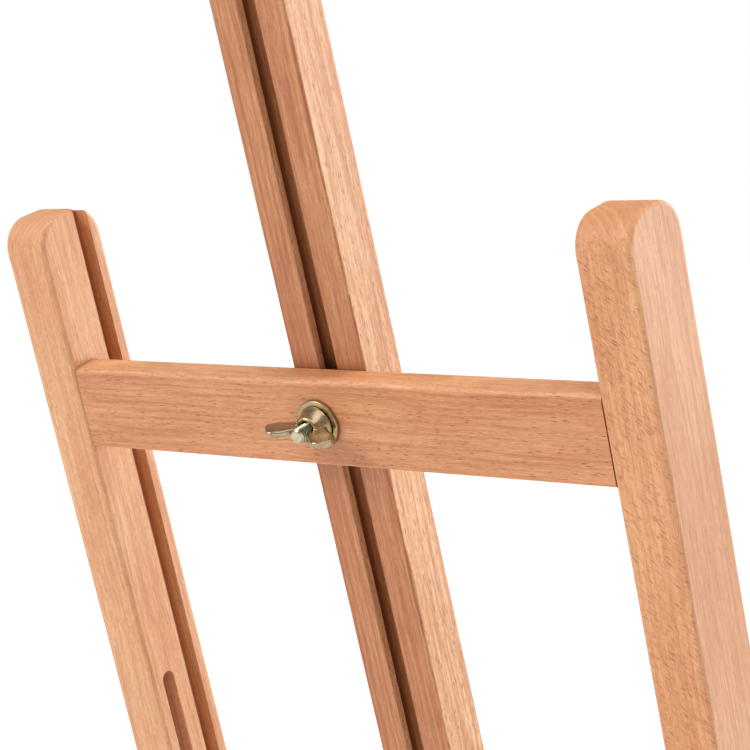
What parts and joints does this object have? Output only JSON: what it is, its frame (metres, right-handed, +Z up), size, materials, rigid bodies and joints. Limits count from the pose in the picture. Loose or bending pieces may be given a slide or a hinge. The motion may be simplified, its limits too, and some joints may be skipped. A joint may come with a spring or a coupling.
{
  "type": "tabletop artist easel",
  "caption": "Tabletop wooden easel: a tilting H-frame of grooved posts and crossbars carries a sliding mast with a canvas tray and a top clamp, locked by wing nuts.",
  "frame": {"origin": "on the table, at the middle of the base frame", "axes": "+Z up; the artist and the canvas are on the -Y side and the frame leans back towards +Y; +X is to the left of someone behind the easel"},
  "size_m": [0.3354, 0.35, 0.7789],
  "materials": {
    "beech": "smooth sanded steamed beech with a thin satin coat",
    "yellow_zinc": "pale yellow zinc-plated steel, satin",
    "screw_zinc": "bright zinc-plated steel screw heads",
    "brass": "plain turned brass",
    "rubber": "matte black rubber"
  },
  "bodies": {
    "base": {"runner_left": "beech", "runner_right": "beech", "hinge_block_left": "beech", "hinge_block_right": "beech", "front_rail": "beech", "rear_rail": "beech", "rubber_feet": "rubber", "base_screws": "screw_zinc", "hinge_block_screws": "screw_zinc", "frame_hinge_bolts": "yellow_zinc", "frame_hinge_shims": "yellow_zinc", "frame_hinge_washers": "yellow_zinc", "frame_hinge_nuts": "yellow_zinc", "brace_hinge_bolts": "yellow_zinc", "brace_hinge_shims": "yellow_zinc", "brace_hinge_washers": "yellow_zinc", "brace_hinge_nuts": "yellow_zinc"},
    "h_frame": {"post_left": "beech", "post_right": "beech", "upper_crossbar": "beech", "lower_crossbar": "beech", "crossbar_dowels": "beech", "mast_clamp_bolt": "yellow_zinc", "mast_clamp_washer": "yellow_zinc"},
    "braces": {"brace_left": "beech", "brace_right": "beech", "brace_stretcher": "beech", "brace_stretcher_screws": "screw_zinc", "slot_bolts": "yellow_zinc", "slot_washers": "yellow_zinc", "slot_shims": "yellow_zinc"},
    "mast": {"mast": "beech", "tray_rail": "beech", "tray_guide_left": "beech", "tray_guide_right": "beech", "tray_shelf": "beech", "tray_lip": "beech", "mast_screws": "screw_zinc", "guide_screws": "screw_zinc", "shelf_screws": "screw_zinc", "lip_screws": "screw_zinc"},
    "top_clamp": {"clamp_saddle": "beech", "clamp_back_plate": "beech", "clamp_arm": "beech", "clamp_lip": "beech", "clamp_plate_screws": "screw_zinc", "clamp_arm_screws": "screw_zinc", "clamp_lip_screws": "screw_zinc", "clamp_insert": "brass"},
    "mast_wing_nut": {"mast_wing_nut": "yellow_zinc"},
    "slot_wing_nut_left": {"slot_wing_nut_left": "yellow_zinc"},
    "slot_wing_nut_right": {"slot_wing_nut_right": "yellow_zinc"},
    "clamp_wing_screw": {"clamp_wing_screw": "yellow_zinc"}
  },
  "joints": [
    {"name": "frame_tilt", "type": "hinge", "parent": "base", "child": "h_frame", "pos_m": [0, -0.1, 0.02], "axis": [1, 0, 0], "range_deg": [-30, 8]},
    {"name": "brace_swing", "type": "hinge", "parent": "base", "child": "braces", "pos_m": [0, 0.15, 0.02], "axis": [1, 0, 0], "range_deg": [-60, 16]},
    {"name": "mast_slide", "type": "slide", "parent": "h_frame", "child": "mast", "axis": [0.0108, 0.309, 0.951], "range_m": [-0.075, 0.12]},
    {"name": "clamp_slide", "type": "slide", "parent": "mast", "child": "top_clamp", "axis": [0.0108, 0.309, 0.951], "range_m": [-0.16, 0.006]},
    {"name": "mast_wing_nut_turn", "type": "hinge", "parent": "h_frame", "child": "mast_wing_nut", "pos_m": [0.0006, 0.06045, 0.4876], "axis": [0, 0.9511, -0.309], "continuous": true},
    {"name": "slot_wing_nut_left_turn", "type": "hinge", "parent": "braces", "child": "slot_wing_nut_left", "pos_m": [0.15, -0.05225, 0.16695], "axis": [1, 0, 0], "continuous": true},
    {"name": "slot_wing_nut_right_turn", "type": "hinge", "parent": "braces", "child": "slot_wing_nut_right", "pos_m": [-0.15, -0.05225, 0.16695], "axis": [-1, 0, 0], "continuous": true},
    {"name": "clamp_screw_turn", "type": "hinge", "parent": "top_clamp", "child": "clamp_wing_screw", "pos_m": [0.03696, 0.12385, 0.7544], "axis": [0.9999, -0.0033, -0.0103], "continuous": true}
  ],
  "couplings": [
    {"joint": "brace_swing", "follows": "frame_tilt", "ratio": 2}
  ]
}
